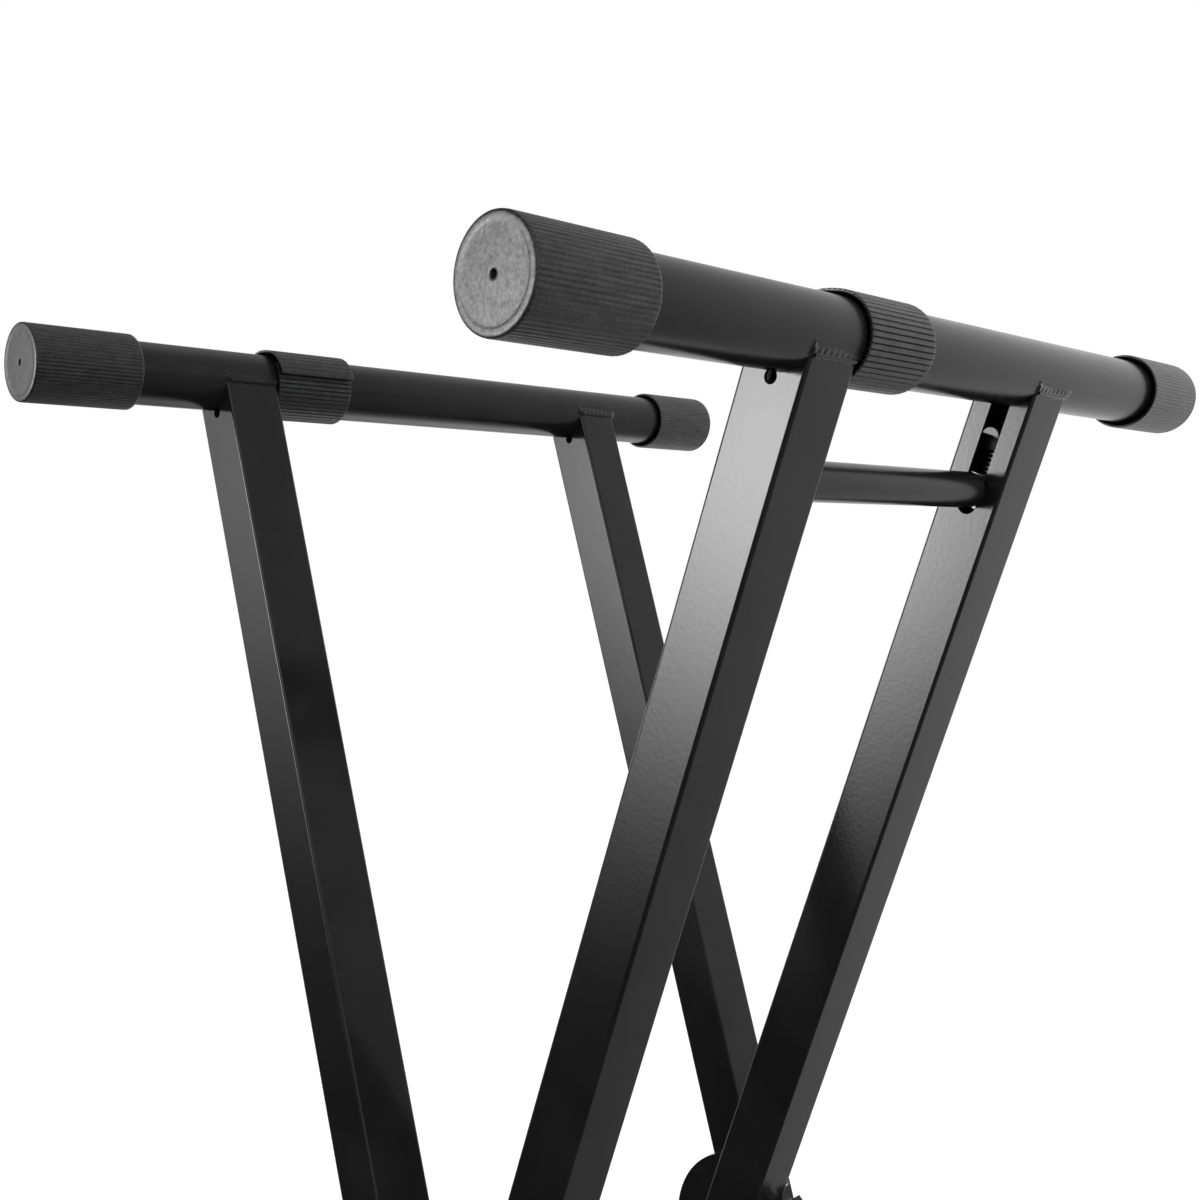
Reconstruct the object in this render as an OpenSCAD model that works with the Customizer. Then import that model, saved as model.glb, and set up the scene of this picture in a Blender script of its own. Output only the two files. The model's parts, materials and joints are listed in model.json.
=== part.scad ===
// Folding double-leg X stand with round arms, a squeeze release bar and notched lock discs.
// X runs across the stand, Y along the arms, Z up; the origin is on the floor under the pivots.
// Each leg is drawn upright in its own frame, with the pivot at its origin, and then leaned over.

/* [Arms and base tubes] */
// Length of each round arm over its end caps
arm_length = 492; // [450:2:560]
// Length of each round base tube over its end caps
base_length = 500; // [460:2:600]
// Outside diameter of the arms and base tubes
tube_d = 32; // [31.5:0.5:34]
// Wall of the arms and base tubes
tube_wall = 1.6; // [1.2:0.1:2.4]

/* [Legs] */
// Side of the square leg tubes
leg_side = 30; // [28:0.5:30.5]
// Wall of the square leg tubes
leg_wall = 1.6; // [1.2:0.1:2]
// Outer corner radius of the leg tubes
leg_corner = 1.6; // [1.2:0.1:3]
// Distance from the pivot up to an arm, along a leg
upper_reach = 528; // [480:2:560]
// Distance from the pivot down to a base tube, along a leg
lower_reach = 500; // [460:2:540]
// Lean of each frame from upright
lean = 18.8; // [16:0.1:40]
// Distance from the middle of the stand to the middle of an inner leg
inner_leg_y = 88; // [80:1:96]
// Space between an inner leg and the outer leg beside it
leg_gap = 12; // [11:0.5:15]
// Diameter of the drain holes near the leg ends
drain_d = 6; // [4:0.5:8]
// Distance from a round tube's axis to a drain hole
drain_drop = 18.2; // [17:0.2:26]
// Radius of the weld beads beside the saddles
weld_r = 1.2; // [0.8:0.1:2]

/* [End caps] */
// Length of an arm cap
cap_length = 54; // [40:1:64]
// Diameter of an arm cap over its ribs
cap_d = 38; // [37:0.5:42]
// Thickness of a cap's closed end
cap_end = 3.6; // [2.6:0.2:5]
// Rounding of a cap's rim
cap_rim = 2; // [1.6:0.2:3.4]
// Hollow of a cap's face at its middle
cap_dish = 0.6; // [0.3:0.1:1]
// Diameter of the moulded hole in a cap's face
cap_hole_d = 3.4; // [2:0.2:5]
// Ribs round an arm cap
cap_ribs = 64; // [48:4:72]
// Depth of the ribs
rib_depth = 0.4; // [0.3:0.05:0.7]
// Length of a foot cap
foot_length = 56; // [44:1:66]
// Diameter of a foot cap over its ribs
foot_d = 42; // [40:0.5:46]
// Ribs round a foot cap
foot_ribs = 48; // [36:4:60]

/* [Sleeves] */
// Length of a split rubber sleeve
sleeve_length = 46; // [36:1:56]
// Wall of a sleeve, over its ribs
sleeve_wall = 2.5; // [2:0.1:3]
// Ribs round a sleeve
sleeve_ribs = 46; // [36:2:56]
// Depth of a sleeve's grooves
sleeve_groove = 0.6; // [0.4:0.1:0.9]
// Angle by which a sleeve laps over itself
sleeve_lap = 24; // [16:2:36]

/* [Release bar] */
// Diameter of the release bar
bar_d = 17; // [14:0.5:20]
// Distance from the arm's axis to the bar's axis, along a leg
bar_drop = 57.8; // [56:0.2:66]
// Diameter of the stubs on the bar's ends
stub_d = 9; // [8:0.2:9.4]
// Width of the slots that the stubs slide in
slot_w = 9.6; // [9.5:0.1:12]
// Free length of slot below a stub
lock_travel = 7.4; // [6.5:0.1:8]
// Further travel of the bar towards the arm
squeeze_travel = 6; // [4:0.5:7]
// Height of the sliders in the inner legs
slider_h = 16; // [13:0.5:18]
// Distance from the arm's axis to the top of a head block
head_drop = 31.5; // [30:0.1:33]
// Height of a head block
head_h = 6.5; // [5:0.1:8]
// Diameter of the pull rods
rod_d = 5; // [4:0.2:5.4]

/* [Springs] */
// Wire diameter of the link springs
link_wire = 1.2; // [1:0.05:1.4]
// Outer diameter of the link springs
link_d = 14; // [12:0.5:16]
// Curls of a link spring
link_curls = 4; // [3:1:4]
// Wire diameter of the return springs
return_wire = 1.2; // [1:0.05:1.4]
// Outer diameter of the return springs
return_d = 13; // [12:0.5:16]
// Curls of a return spring
return_curls = 7; // [5:1:8]
// Length of a return spring in the stored position
return_length = 24; // [22:0.5:28]

/* [Lock and pivots] */
// Diameter of the lock discs
disc_d = 106; // [92:1:110]
// Thickness of the lock discs
disc_t = 6; // [5:0.5:7]
// Diameter of the lock pins
pin_d = 8; // [7:0.5:9]
// Clearance between a lock pin and the rim of its disc
pin_clear = 0.5; // [0.4:0.1:0.8]
// Notches in a lock disc
notch_count = 5; // [3:1:5]
// Angle between two notches
notch_step = 15.6; // [14.5:0.1:17]
// Angle between the legs when the stand is folded, held by a notch of its own
folded_angle = 5.1; // [5.1:0.1:8]
// Diameter of the pivot bolts
bolt_d = 10; // [8:0.5:11]
// Outside diameter of the pivot bushes in the legs
bush_d = 17; // [16:0.5:20]

/* [Hidden] */

// Finish
coat = [0.10, 0.10, 0.11];
rubber = [0.17, 0.17, 0.18];
zinc = [0.62, 0.62, 0.60];
nylon = [0.80, 0.79, 0.74];

// Smoothness of round forms
$fn = 96;

// Clearances: welded seats, sliding fits, thread and pin fits, end play
seat_gap = 0.15;
slide_gap = 0.4;
fit_gap = 0.06;
play = 0.3;
over = 1;

// Cap details: flat ring round the dish, plain band before the ribs, the ribs' step below that
// band, and the core below their roots
dish_edge = 0.8;
rib_lip = 0.4;
rib_below = 0.05;
rib_root = 0.2;

// Places worked out from the sizes above
tube_r = tube_d / 2;
leg_half = leg_side / 2;
leg_inner = leg_side - 2 * leg_wall;
inner_corner = max(leg_corner - leg_wall, 0.4);
pivot_z = foot_d / 2 + lower_reach * cos(lean);
outer_leg_y = inner_leg_y + leg_side + leg_gap;
saddle_drop = sqrt(pow(tube_r + seat_gap, 2) - pow(leg_half, 2));
bar_z = upper_reach - bar_drop;
slot_end_z = bar_z - stub_d / 2 - lock_travel;
bar_half = inner_leg_y - leg_half - slide_gap;
bar_round = 3;
stub_reach = 6.5;
slider_side = leg_inner - 2 * slide_gap;
head_z = upper_reach - head_drop;
tab_r = slot_w / 2 - slide_gap;
nut_h = 4;
nut_d = 2.1 * rod_d;
rod_above_nut = 3;
head_recess = 4;
tab_to_nut = 2;
disc_r = disc_d / 2;
notch_angles = concat([folded_angle], [for (k = [0:notch_count - 1]) 2 * lean + k * notch_step]);
pin_z = disc_r + pin_d / 2 + pin_clear;
pin_seat_z = pin_z - lock_travel;
pawl_foot = pin_d / 2 + 4;
pawl_head = pin_d / 2 + 8;
rod_grip = 7;
stop_h = 8;
stop_z = pin_z + pawl_head + return_length;
bolt_head_d = 1.75 * bolt_d;
bolt_head_h = 0.62 * bolt_d;
pivot_nut_d = 1.9 * bolt_d;
pivot_nut_h = 0.8 * bolt_d;
washer_d = 2.1 * bolt_d;
washer_t = 1.6;
spacer_d = 30;

// Rings and sides of the wound wires
rings_per_curl = 8;
wire_sides = 6;

// Outline of a round, ribbed moulding: each rib is a flat crest between two short flanks
function rib_outline(r, depth, count, crest = 0.25, flank = 0.38) = [
    for (i = [0:count - 1])
        for (corner = [[-flank, r - depth], [-crest, r], [crest, r], [flank, r - depth]])
            let (a = (i + corner[0]) * 360 / count - 90)
                [corner[1] * cos(a), corner[1] * sin(a)]
];

// Inner radius of a lapped sleeve at an angle from its under edge
function lap_radius(a) =
    let (rise = 50, start = 360 - rise, t = min(max((a - start) / rise, 0), 1))
        tube_r + seat_gap + (sleeve_wall + seat_gap) * t * t * (3 - 2 * t);

// Outline of a lapped sleeve: ribbed outside one way round, then back along the inside.
// Each rib is given by shares of its pitch and whether that corner is down in the groove.
function sleeve_outline() =
    let (turn = 360 + sleeve_lap,
         step = 360 / sleeve_ribs,
         last = floor(turn / step) - 1,
         corners = [[0, true], [0.10, false], [0.70, false], [0.82, true]])
        concat(
            [for (i = [0:last]) for (corner = corners)
                let (a = (i + corner[0]) * step,
                     r = lap_radius(a) + sleeve_wall - (corner[1] ? sleeve_groove : 0))
                    [r * cos(a), r * sin(a)]],
            [for (i = [last:-1:0])
                let (a = (i + corners[3][0]) * step)
                    [lap_radius(a) * cos(a), lap_radius(a) * sin(a)]],
            [[lap_radius(0), 0]]);

// Centre line of a wound wire: a straight end square to each seat, with the curls between them
function wire_line(r, wire, length, curls) =
    let (steps = curls * rings_per_curl, rise = length - 2 * wire)
        concat(
            [[r, 0, 0]],
            [for (i = [0:steps]) let (a = 360 * i / rings_per_curl)
                [r * cos(a), r * sin(a), wire + rise * i / steps]],
            [[r * cos(360 * curls), r * sin(360 * curls), length]]);

function unit(v) = v / norm(v);

// Six-sided section of the wire at one point of its centre line
function wire_ring(line, i, wire) =
    let (last = len(line) - 1,
         along = i == 0 || i == last
             ? [0, 0, 1]
             : unit(unit(line[i + 1] - line[i]) + unit(line[i] - line[i - 1])),
         out = unit([line[i][0], line[i][1], 0]),
         side = cross(along, out))
        [for (k = [0:wire_sides - 1]) let (a = 360 * k / wire_sides)
            line[i] + wire / 2 * (out * cos(a) + side * sin(a))];

// Least gap between two curls of a wire, over every pair of points more than half a curl apart
function wire_gap(line, wire) =
    min([for (i = [0:len(line) - 1])
        for (j = [i + rings_per_curl / 2 + 1:1:len(line) - 1])
            norm(line[j] - line[i]) - wire]);

module wound_wire(r, wire, length, curls) {
    line = wire_line(r, wire, length, curls);
    rings = len(line);
    points = [for (i = [0:rings - 1]) each wire_ring(line, i, wire)];
    start_face = [[for (k = [0:wire_sides - 1]) k]];
    end_face = [[for (k = [wire_sides - 1:-1:0]) (rings - 1) * wire_sides + k]];
    walls = [for (i = [0:rings - 2]) for (k = [0:wire_sides - 1])
        let (a = i * wire_sides + k, b = i * wire_sides + (k + 1) % wire_sides)
            each [[a, a + wire_sides, b], [b, a + wire_sides, b + wire_sides]]];
    polyhedron(points, concat(start_face, walls, end_face));
}

module rounded_square(side, r) {
    square([side - 2 * r, side], center = true);
    square([side, side - 2 * r], center = true);
    for (x = [-1, 1]) {
        for (y = [-1, 1]) {
            translate([x * (side / 2 - r), y * (side / 2 - r)]) circle(r, $fn = 32);
        }
    }
}

// A cylinder along Y, centred
module rod_y(length, r) {
    rotate([90, 0, 0]) cylinder(h = length, r = r, center = true);
}

// A block centred in X and Y with its foot at a height
module block(x, y, z_low, z_high) {
    translate([-x / 2, -y / 2, z_low]) cube([x, y, z_high - z_low]);
}

// The far side as drawn, the near side as its mirror image
module near_side() {
    mirror([0, 1, 0]) children();
}

module on_frame_a() {
    translate([0, 0, pivot_z]) rotate([0, lean, 0]) children();
}

module on_frame_b() {
    translate([0, 0, pivot_z]) rotate([0, -lean, 0]) children();
}

// In an inner leg on the far side, with the leg's middle as origin
module in_inner_leg() {
    on_frame_a() translate([0, inner_leg_y, 0]) children();
}

module in_outer_leg() {
    on_frame_b() translate([0, outer_leg_y, 0]) children();
}

// Round tube along Y, cut short inside its caps
module round_tube(length) {
    bare = length - 2 * cap_end - 2 * play;
    difference() {
        rod_y(bare, tube_r);
        rod_y(bare + 2 * over, tube_r - tube_wall);
    }
}

// Square tube with saddle ends, weld beads, a pivot bush and drain holes.
// The outer face looks along +Y.
module leg_tube() {
    span = upper_reach + lower_reach;
    difference() {
        union() {
            difference() {
                translate([0, 0, -lower_reach]) linear_extrude(span) rounded_square(leg_side, leg_corner);
                translate([0, 0, -lower_reach - over]) linear_extrude(span + 2 * over)
                    rounded_square(leg_inner, inner_corner);
            }
            rod_y(leg_side, bush_d / 2);
            weld_beads();
        }
        rod_y(leg_side + 2 * over, bolt_d / 2 + fit_gap);
        for (z = [upper_reach, -lower_reach]) {
            translate([0, 0, z]) rod_y(leg_side + 2 * over, tube_r + seat_gap);
        }
        translate([0, 0, drain_drop - lower_reach]) rod_y(leg_side + 2 * over, drain_d / 2);
    }
}

// Beads along both sides of each saddle, where the leg meets the round tube
module weld_beads() {
    bead = leg_side - 2 * leg_corner;
    for (x = [-1, 1]) {
        for (z = [upper_reach - saddle_drop, saddle_drop - lower_reach]) {
            translate([x * leg_half, 0, z]) rod_y(bead, weld_r);
        }
    }
}

// Inner leg: a slot for the release bar in its inner wall and one for the lock pin in its outer wall
module inner_leg() {
    difference() {
        leg_tube();
        translate([0, -leg_half + leg_wall / 2, 0]) {
            translate([0, 0, slot_end_z + slot_w / 2]) rod_y(leg_wall + 2 * over, slot_w / 2);
            block(slot_w, leg_wall + 2 * over, slot_end_z + slot_w / 2, upper_reach);
        }
        translate([0, leg_half, 0]) {
            for (z = [pin_seat_z, pin_z + squeeze_travel]) {
                translate([0, 0, z]) rod_y(2 * leg_wall + 2 * over, pin_d / 2 + slide_gap);
            }
            block(pin_d + 2 * slide_gap, 2 * leg_wall + 2 * over, pin_seat_z, pin_z + squeeze_travel);
            translate([0, 0, upper_reach - drain_drop]) rod_y(2 * leg_wall + 2 * over, drain_d / 2);
        }
    }
}

module outer_leg() {
    difference() {
        leg_tube();
        translate([0, 0, upper_reach - drain_drop]) rod_y(leg_side + 2 * over, drain_d / 2);
    }
}

// Moulded cap with its closed face on z = 0 and its mouth towards +Z
module ribbed_cap(length, d, ribs) {
    r = d / 2;
    dish_r = r - cap_rim - dish_edge;
    dish_ball = (dish_r * dish_r + cap_dish * cap_dish) / (2 * cap_dish);
    core_r = r - rib_depth - rib_root;
    difference() {
        union() {
            rotate_extrude() {
                translate([0, 0]) square([r - cap_rim, cap_rim]);
                translate([r - cap_rim, cap_rim]) intersection() {
                    circle(cap_rim, $fn = 48);
                    translate([0, -cap_rim]) square(cap_rim);
                }
                translate([0, cap_rim]) square([r, rib_lip]);
                translate([0, cap_rim]) square([core_r, length - cap_rim]);
            }
            translate([0, 0, cap_rim + rib_lip]) linear_extrude(length - cap_rim - rib_lip)
                polygon(rib_outline(r - rib_below, rib_depth, ribs));
        }
        translate([0, 0, cap_end]) cylinder(h = length, r = tube_r + seat_gap);
        translate([0, 0, cap_dish - dish_ball]) sphere(dish_ball, $fn = 192);
        translate([0, 0, -over]) cylinder(h = cap_end + 2 * over, r = cap_hole_d / 2, $fn = 32);
    }
}

// A cap on the near end of a tube of the given length
module end_cap(span, length, d, ribs) {
    translate([0, -span / 2, 0]) rotate([-90, 0, 0]) ribbed_cap(length, d, ribs);
}

// Split sleeve, wrapped round an arm from a start height along Y, its lap at an angle about the arm
module sleeve(start_y, lap_angle) {
    translate([0, start_y, 0]) rotate([0, -lap_angle, 0]) rotate([-90, 0, 0]) mirror([0, 1, 0])
        linear_extrude(sleeve_length) polygon(sleeve_outline());
}

// Release bar: a round bar with rounded ends and a stub into each inner leg
module bar() {
    stub_end = inner_leg_y - slider_side / 2 + stub_reach;
    rotate([90, 0, 0]) rotate_extrude() difference() {
        union() {
            translate([0, -bar_half]) square([bar_d / 2 - bar_round, 2 * bar_half]);
            translate([0, bar_round - bar_half]) square([bar_d / 2, 2 * (bar_half - bar_round)]);
            for (end = [-1, 1]) {
                translate([bar_d / 2 - bar_round, end * (bar_half - bar_round)]) circle(bar_round, $fn = 48);
            }
            translate([0, -stub_end]) square([stub_d / 2, 2 * stub_end]);
        }
        translate([-bar_d, -2 * stub_end]) square([bar_d, 4 * stub_end]);
    }
}

// Block on a stub, guided by the leg's inside, with a bore for the pull rod
module slider() {
    low = bar_z - slider_h / 2;
    difference() {
        block(slider_side, slider_side, low, low + slider_h);
        translate([0, 0, low - over]) cylinder(h = slider_h + 2 * over, r = rod_d / 2 + fit_gap);
        translate([0, -slider_side / 2, bar_z]) rod_y(2 * (stub_reach + play), stub_d / 2 + fit_gap);
    }
}

// Block that the link spring pushes on, with a round tab that runs in the release slot
module head_block() {
    tab_y = -leg_half + seat_gap;
    tab_depth = leg_half - nut_d / 2 - tab_to_nut;
    difference() {
        union() {
            translate([0, head_recess / 2, 0])
                block(slider_side, slider_side - head_recess, head_z - head_h, head_z);
            intersection() {
                translate([0, tab_y + tab_depth / 2, head_z]) rod_y(tab_depth, tab_r);
                translate([-tab_r, tab_y, head_z - tab_r / 4]) cube([2 * tab_r, tab_depth, 2 * tab_r]);
            }
        }
        translate([0, 0, head_z - head_h - over]) cylinder(h = head_h + 2 * over, r = rod_d / 2 + fit_gap);
    }
}

module rod_nut() {
    translate([0, 0, head_z]) difference() {
        cylinder(h = nut_h, r = nut_d / 2, $fn = 6);
        translate([0, 0, -over]) cylinder(h = nut_h + 2 * over, r = rod_d / 2 + fit_gap);
    }
}

module link_spring() {
    low = bar_z + slider_h / 2;
    length = head_z - head_h - low;
    translate([0, 0, low]) wound_wire((link_d - link_wire) / 2, link_wire, length, link_curls);
}

module pull_rod() {
    low = pin_z + pawl_head - rod_grip;
    translate([0, 0, low]) cylinder(h = head_z + nut_h + rod_above_nut - low, r = rod_d / 2);
}

// Lock pawl: a block in the leg, its pin standing out through the outer wall to the disc
module lock_pawl() {
    pin_end = leg_half + leg_gap - slide_gap;
    top = pin_z + pawl_head;
    difference() {
        union() {
            block(slider_side, slider_side, pin_z - pawl_foot, top);
            translate([0, pin_end / 2, pin_z]) rod_y(pin_end, pin_d / 2);
        }
        translate([0, 0, top - rod_grip - play]) cylinder(h = rod_grip + 2 * over, r = rod_d / 2 + fit_gap);
    }
}

module return_spring() {
    translate([0, 0, pin_z + pawl_head])
        wound_wire((return_d - return_wire) / 2, return_wire, return_length, return_curls);
}

module spring_stop() {
    side = leg_inner - 2 * seat_gap;
    difference() {
        block(side, side, stop_z, stop_z + stop_h);
        translate([0, 0, stop_z - over]) cylinder(h = stop_h + 2 * over, r = rod_d / 2 + slide_gap);
    }
}

// Notched disc on an outer leg's inner face, in that leg's frame with the leg's middle as origin
module lock_disc() {
    face_y = -leg_half;
    translate([0, face_y - disc_t / 2, 0]) difference() {
        rod_y(disc_t, disc_r);
        rod_y(disc_t + 2 * over, bolt_d / 2 + fit_gap);
        for (open_angle = notch_angles) {
            rotate([0, open_angle, 0]) {
                translate([0, 0, pin_seat_z]) rod_y(disc_t + 2 * over, pin_d / 2 + slide_gap / 2);
                block(pin_d + slide_gap, disc_t + 2 * over, pin_seat_z, disc_r + over);
            }
        }
    }
}

// Pivot hardware on the far side, from the middle of the stand outwards along +Y
module pivot_bolt() {
    inside = inner_leg_y - leg_half - washer_t - pivot_nut_h - 2;
    outside = outer_leg_y + leg_half;
    translate([0, (inside + outside) / 2, 0]) rod_y(outside - inside, bolt_d / 2);
    translate([0, outside, 0]) rotate([-90, 0, 0]) rotate_extrude() difference() {
        union() {
            square([bolt_head_d / 2 - 2, bolt_head_h]);
            square([bolt_head_d / 2, bolt_head_h - 2]);
            translate([bolt_head_d / 2 - 2, bolt_head_h - 2]) circle(2, $fn = 32);
        }
        translate([-over, bolt_head_h / 2]) square([over + bolt_d / 3, bolt_head_h]);
    }
}

module pivot_spacer() {
    thick = leg_gap - disc_t - play;
    translate([0, inner_leg_y + leg_half + play / 2 + thick / 2, 0]) difference() {
        rod_y(thick, spacer_d / 2);
        rod_y(thick + 2 * over, bolt_d / 2 + fit_gap);
    }
}

module pivot_washer() {
    translate([0, inner_leg_y - leg_half - washer_t / 2 - seat_gap, 0]) difference() {
        rod_y(washer_t, washer_d / 2);
        rod_y(washer_t + 2 * over, bolt_d / 2 + fit_gap);
    }
}

module pivot_nut() {
    translate([0, inner_leg_y - leg_half - washer_t - seat_gap - pivot_nut_h / 2, 0]) difference() {
        rotate([90, 0, 0]) cylinder(h = pivot_nut_h, r = pivot_nut_d / 2, center = true, $fn = 6);
        rod_y(pivot_nut_h + 2 * over, bolt_d / 2 + fit_gap);
    }
}

module arm_cap(far) {
    mirror([0, far ? 1 : 0, 0]) end_cap(arm_length, cap_length, cap_d, cap_ribs);
}

module foot_cap(x_side, far) {
    translate([x_side * lower_reach * sin(lean), 0, foot_d / 2])
        mirror([0, far ? 1 : 0, 0]) end_cap(base_length, foot_length, foot_d, foot_ribs);
}

module arm_tube_a() color(coat) on_frame_a() translate([0, 0, upper_reach]) round_tube(arm_length);
module arm_tube_b() color(coat) on_frame_b() translate([0, 0, upper_reach]) round_tube(arm_length);
module base_tube_a() color(coat) on_frame_a() translate([0, 0, -lower_reach]) round_tube(base_length);
module base_tube_b() color(coat) on_frame_b() translate([0, 0, -lower_reach]) round_tube(base_length);

module leg_a_near() color(coat) near_side() in_inner_leg() inner_leg();
module leg_a_far() color(coat) in_inner_leg() inner_leg();
module leg_b_near() color(coat) near_side() in_outer_leg() outer_leg();
module leg_b_far() color(coat) in_outer_leg() outer_leg();

module arm_cap_a_near() color(rubber) on_frame_a() translate([0, 0, upper_reach]) arm_cap(false);
module arm_cap_a_far() color(rubber) on_frame_a() translate([0, 0, upper_reach]) arm_cap(true);
module arm_cap_b_near() color(rubber) on_frame_b() translate([0, 0, upper_reach]) arm_cap(false);
module arm_cap_b_far() color(rubber) on_frame_b() translate([0, 0, upper_reach]) arm_cap(true);

module foot_cap_a_near() color(rubber) foot_cap(-1, false);
module foot_cap_a_far() color(rubber) foot_cap(-1, true);
module foot_cap_b_near() color(rubber) foot_cap(1, false);
module foot_cap_b_far() color(rubber) foot_cap(1, true);

// Each sleeve butts against its near leg
module sleeve_a() color(rubber) on_frame_a() translate([0, 0, upper_reach])
    sleeve(leg_half + play - inner_leg_y, 150);
module sleeve_b() color(rubber) on_frame_b() translate([0, 0, upper_reach])
    mirror([0, 0, 1]) sleeve(leg_half + play - outer_leg_y, -23);

module release_bar() color(coat) on_frame_a() translate([0, 0, bar_z]) bar();
module slider_near() color(zinc) near_side() in_inner_leg() slider();
module slider_far() color(zinc) in_inner_leg() slider();
module head_block_near() color(coat) near_side() in_inner_leg() head_block();
module head_block_far() color(coat) in_inner_leg() head_block();
module rod_nuts() color(zinc) {
    near_side() in_inner_leg() rod_nut();
    in_inner_leg() rod_nut();
}
module link_spring_near() color(zinc) near_side() in_inner_leg() link_spring();
module link_spring_far() color(zinc) in_inner_leg() link_spring();
module pull_rod_near() color(zinc) near_side() in_inner_leg() pull_rod();
module pull_rod_far() color(zinc) in_inner_leg() pull_rod();
module lock_pawl_near() color(zinc) near_side() in_inner_leg() lock_pawl();
module lock_pawl_far() color(zinc) in_inner_leg() lock_pawl();
module return_spring_near() color(zinc) near_side() in_inner_leg() return_spring();
module return_spring_far() color(zinc) in_inner_leg() return_spring();
module spring_stop_near() color(zinc) near_side() in_inner_leg() spring_stop();
module spring_stop_far() color(zinc) in_inner_leg() spring_stop();

module lock_disc_near() color(coat) near_side() in_outer_leg() lock_disc();
module lock_disc_far() color(coat) in_outer_leg() lock_disc();
module pivot_bolt_near() color(zinc) near_side() on_frame_b() pivot_bolt();
module pivot_bolt_far() color(zinc) on_frame_b() pivot_bolt();
module pivot_spacer_near() color(nylon) near_side() on_frame_b() pivot_spacer();
module pivot_spacer_far() color(nylon) on_frame_b() pivot_spacer();
module pivot_washers() color(zinc) {
    near_side() on_frame_b() pivot_washer();
    on_frame_b() pivot_washer();
}
module pivot_nuts() color(zinc) {
    near_side() on_frame_b() pivot_nut();
    on_frame_b() pivot_nut();
}

echo(link_spring_gap = wire_gap(
    wire_line((link_d - link_wire) / 2, link_wire,
        head_z - head_h - bar_z - slider_h / 2, link_curls), link_wire));
echo(return_spring_gap = wire_gap(
    wire_line((return_d - return_wire) / 2, return_wire, return_length, return_curls), return_wire));

arm_tube_a();
arm_tube_b();
base_tube_a();
base_tube_b();
leg_a_near();
leg_a_far();
leg_b_near();
leg_b_far();
arm_cap_a_near();
arm_cap_a_far();
arm_cap_b_near();
arm_cap_b_far();
foot_cap_a_near();
foot_cap_a_far();
foot_cap_b_near();
foot_cap_b_far();
sleeve_a();
sleeve_b();
release_bar();
slider_near();
slider_far();
head_block_near();
head_block_far();
rod_nuts();
link_spring_near();
link_spring_far();
pull_rod_near();
pull_rod_far();
lock_pawl_near();
lock_pawl_far();
return_spring_near();
return_spring_far();
spring_stop_near();
spring_stop_far();
lock_disc_near();
lock_disc_far();
pivot_bolt_near();
pivot_bolt_far();
pivot_spacer_near();
pivot_spacer_far();
pivot_washers();
pivot_nuts();
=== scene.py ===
import json
import math
import random

import bmesh
import bpy
from mathutils import Matrix, Vector


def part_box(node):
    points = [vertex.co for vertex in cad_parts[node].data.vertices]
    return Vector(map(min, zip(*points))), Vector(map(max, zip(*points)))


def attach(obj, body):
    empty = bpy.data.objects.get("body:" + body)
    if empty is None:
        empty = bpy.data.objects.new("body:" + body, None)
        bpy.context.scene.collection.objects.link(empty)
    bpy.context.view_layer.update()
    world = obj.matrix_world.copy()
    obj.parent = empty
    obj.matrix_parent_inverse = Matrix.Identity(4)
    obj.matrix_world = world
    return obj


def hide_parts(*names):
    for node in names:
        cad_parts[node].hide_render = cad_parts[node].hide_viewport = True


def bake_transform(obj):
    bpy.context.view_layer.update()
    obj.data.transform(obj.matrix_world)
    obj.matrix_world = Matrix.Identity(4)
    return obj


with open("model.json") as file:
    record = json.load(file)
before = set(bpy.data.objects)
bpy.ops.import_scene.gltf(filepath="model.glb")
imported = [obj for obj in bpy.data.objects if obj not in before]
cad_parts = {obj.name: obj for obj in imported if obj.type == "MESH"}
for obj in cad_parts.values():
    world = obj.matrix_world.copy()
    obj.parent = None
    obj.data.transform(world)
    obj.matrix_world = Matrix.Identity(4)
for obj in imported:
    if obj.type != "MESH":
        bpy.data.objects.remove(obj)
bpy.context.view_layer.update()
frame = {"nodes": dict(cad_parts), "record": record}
mm = 0.001
print("frame loaded")


# Nodes and colours
def linearColor(hexText):
    # sRGB hex, such as "1a1a1b", to the linear values that a shader takes
    parts = [int(hexText[i:i + 2], 16) / 255 for i in (0, 2, 4)]
    return tuple(c / 12.92 if c <= 0.04045 else ((c + 0.055) / 1.055) ** 2.4 for c in parts) + (1.0,)


def addNode(tree, kind, inputs=None, stops=(), **settings):
    # one node with its settings, its values or links by input name or number, and a colour ramp's two
    # stops as pairs of place and hex colour
    node = tree.nodes.new(kind)
    for name, value in settings.items():
        setattr(node, name, value)
    for k, (place, hexText) in enumerate(stops):
        node.color_ramp.elements[k].position = place
        node.color_ramp.elements[k].color = linearColor(hexText)
    for name, value in (inputs or {}).items():
        if isinstance(value, bpy.types.NodeSocket):
            tree.links.new(value, node.inputs[name])
        else:
            node.inputs[name].default_value = value
    return node


def newMaterial(name):
    material = bpy.data.materials.new(name)
    material.use_nodes = True
    material.node_tree.nodes.clear()
    return material, material.node_tree


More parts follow.
